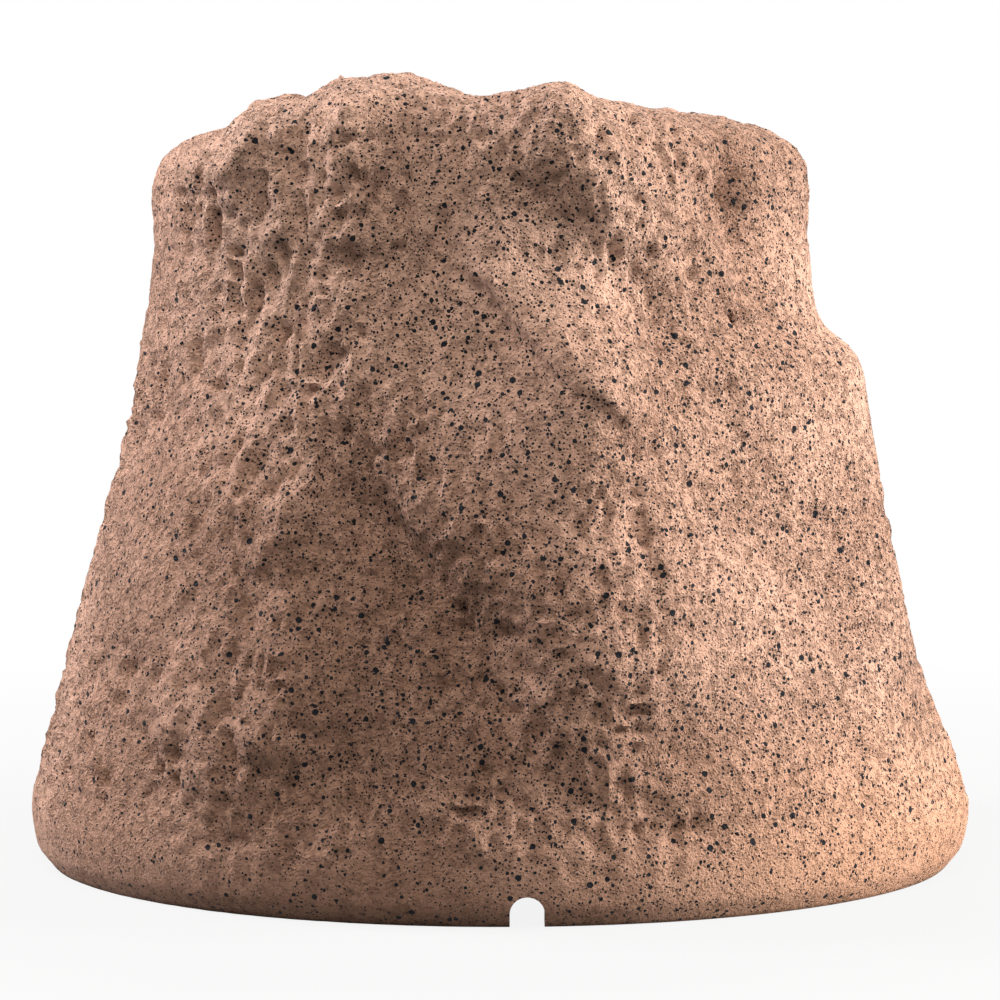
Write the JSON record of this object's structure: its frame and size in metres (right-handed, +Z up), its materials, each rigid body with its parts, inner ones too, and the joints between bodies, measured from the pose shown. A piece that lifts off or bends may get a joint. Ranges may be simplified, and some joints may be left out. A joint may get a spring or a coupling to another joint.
{
  "type": "rock shaped garden speaker",
  "caption": "Outdoor loudspeaker hidden in a hollow cast sandstone rock, with a coaxial driver behind a round front grille, a closed floor and a cable notch in the rear rim.",
  "frame": {"origin": "on the ground under the middle of the rock", "axes": "+Z up, +Y the way the grille faces, +X to the right seen from behind"},
  "size_m": [0.3403, 0.3, 0.2836],
  "materials": {
    "sandstone": "cast resin stone, rough, speckled",
    "grille_steel": "powder coated perforated steel",
    "screw_steel": "stainless steel",
    "baffle_board": "black moulded board",
    "black_rubber": "soft black rubber",
    "basket_steel": "black painted pressed steel",
    "cone_pulp": "black woven fibre cone",
    "former_film": "rolled aluminium former",
    "copper_wire": "enamelled copper",
    "spider_cloth": "resin coated cloth",
    "plated_steel": "zinc plated steel",
    "ferrite": "ferrite",
    "black_plastic": "moulded black plastic",
    "dome_film": "silver film dome",
    "floor_board": "dark moulded floor",
    "circuit_board": "green circuit board",
    "film_capacitor": "yellow film capacitor",
    "cement_resistor": "white cement resistor",
    "terminal_green": "green terminal block",
    "nylon": "black nylon",
    "lead_cover": "red lead"
  },
  "bodies": {
    "cabinet": {"rock_shell": "sandstone", "front_grille": "grille_steel", "grille_screws": "screw_steel", "baffle": "baffle_board", "baffle_gasket": "black_rubber", "woofer_basket": "basket_steel", "woofer_gasket": "black_rubber", "woofer_screws": "screw_steel", "terminal_strip": "black_plastic", "woofer_surround": "black_rubber", "spider": "spider_cloth", "top_plate": "plated_steel", "woofer_magnet": "ferrite", "pole_yoke": "plated_steel", "tweeter_post": "plated_steel", "tweeter_housing": "black_plastic", "tweeter_magnet": "plated_steel", "tweeter_dome": "dome_film", "tweeter_ring": "black_plastic", "base_plate": "floor_board", "base_gasket": "black_rubber", "base_screws": "screw_steel", "board_standoffs": "nylon", "crossover_board": "circuit_board", "board_screws": "screw_steel", "coil_bobbin": "black_plastic", "coil_winding": "copper_wire", "capacitors": "film_capacitor", "resistor": "cement_resistor", "terminal_block": "terminal_green", "gland_body": "nylon", "gland_seal": "black_rubber", "gland_cap": "nylon", "gland_locknut": "nylon", "woofer_lead": "lead_cover", "tweeter_lead": "lead_cover"},
    "cone_assembly": {"woofer_cone": "cone_pulp", "voice_coil_former": "former_film", "voice_coil_winding": "copper_wire"}
  },
  "joints": [
    {"name": "cone_travel", "type": "slide", "parent": "cabinet", "child": "cone_assembly", "axis": [0, 0.9656, 0.2602], "range_m": [-0.004, 0.004], "stiffness_N_per_m": 1500, "deforming": ["woofer_surround", "spider"]}
  ]
}
